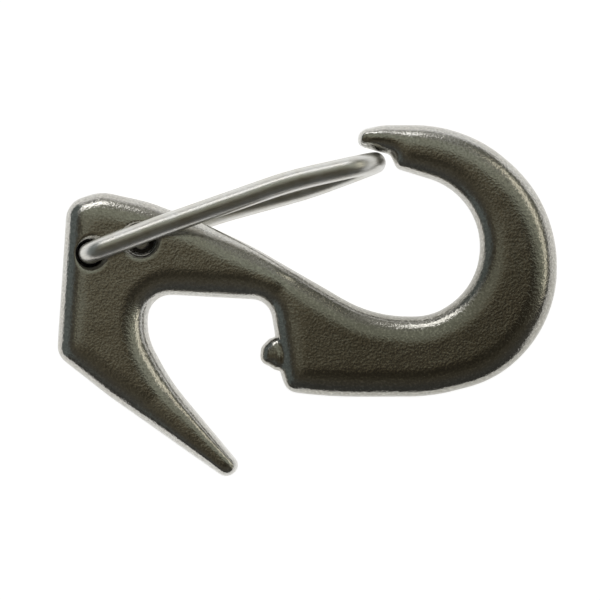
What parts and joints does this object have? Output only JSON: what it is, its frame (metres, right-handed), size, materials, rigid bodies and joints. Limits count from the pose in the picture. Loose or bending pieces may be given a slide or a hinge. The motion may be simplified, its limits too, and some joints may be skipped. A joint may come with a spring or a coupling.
{
  "type": "sail snap hank",
  "caption": "Flat forged snap hank: a round hook closed by a sprung wire gate, with an open claw that is bent shut around a sail's edge.",
  "frame": {"origin": "centre of the hook's round seat, on the body's middle plane", "axes": "+Z out of the front face and along the stay that the seat holds, +X from the head to the hook's round end, +Y towards the hook's tip"},
  "size_m": [0.07, 0.0493, 0.012],
  "materials": {
    "forged_steel": "tumble-polished forging with a fine orange-peel grain",
    "wire_steel": "drawn and polished spring wire"
  },
  "bodies": {
    "hook": {"hook_body": "forged_steel"},
    "gate_front": {"gate_front_leg": "wire_steel"},
    "gate_rear": {"gate_rear_leg": "wire_steel"}
  },
  "joints": [
    {"name": "gate_swing", "type": "hinge", "parent": "hook", "child": "gate_front", "pos_m": [-0.0446, -0.00095, 0], "axis": [0, 0, -1], "range_deg": [0, 24], "stiffness_Nm_per_rad": 0.6, "springref_deg": -6.88},
    {"name": "gate_flex", "type": "hinge", "parent": "gate_front", "child": "gate_rear", "pos_m": [-0.005, 0.01295, 0], "axis": [0, 0, -1], "range_deg": [0, 5.2]}
  ],
  "couplings": [
    {"joint": "gate_flex", "follows": "gate_swing", "ratio": 0.21}
  ]
}
